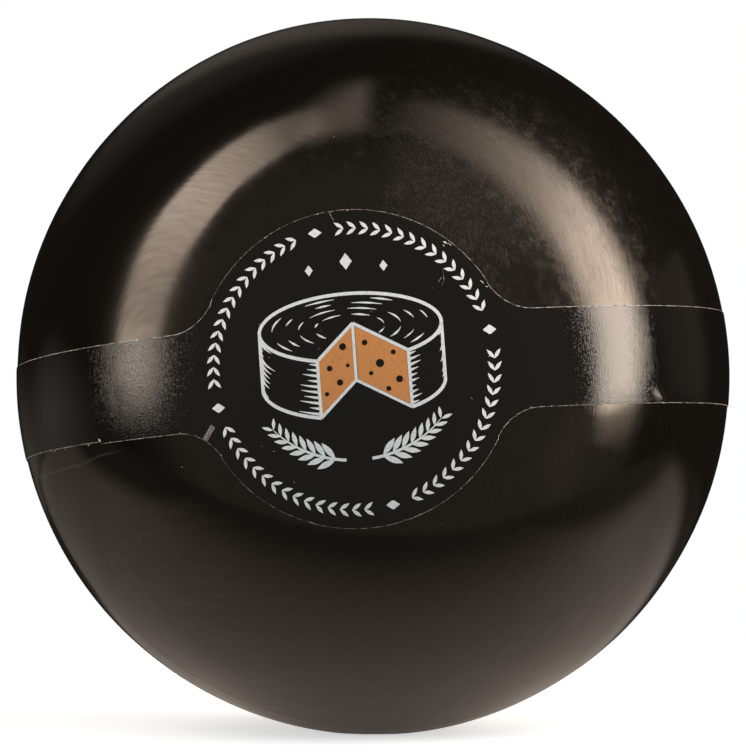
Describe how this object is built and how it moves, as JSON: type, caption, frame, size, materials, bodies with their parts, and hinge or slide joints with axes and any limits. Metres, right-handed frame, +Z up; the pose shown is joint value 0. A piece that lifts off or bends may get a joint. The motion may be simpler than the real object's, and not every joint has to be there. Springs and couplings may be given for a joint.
{
  "type": "ball cheese",
  "caption": "Ball-shaped cheese in a glossy black wax coat, with a black paper label whose round middle faces front and whose two straps lap at the back.",
  "frame": {"origin": "on the floor under the ball, in the middle of the flat spot it rests on", "axes": "+Z up through the ball's centre, -Y towards the front, where the round middle of the label is, +X to the right as seen from the front"},
  "size_m": [0.1213, 0.1216, 0.1204],
  "materials": {
    "wax": "glossy black cheese wax, dipped and wiped",
    "label_paper": "black satin-coated paper with a white and orange print"
  },
  "bodies": {
    "root": {"cheese_ball": "wax", "label": "label_paper"}
  },
  "joints": []
}
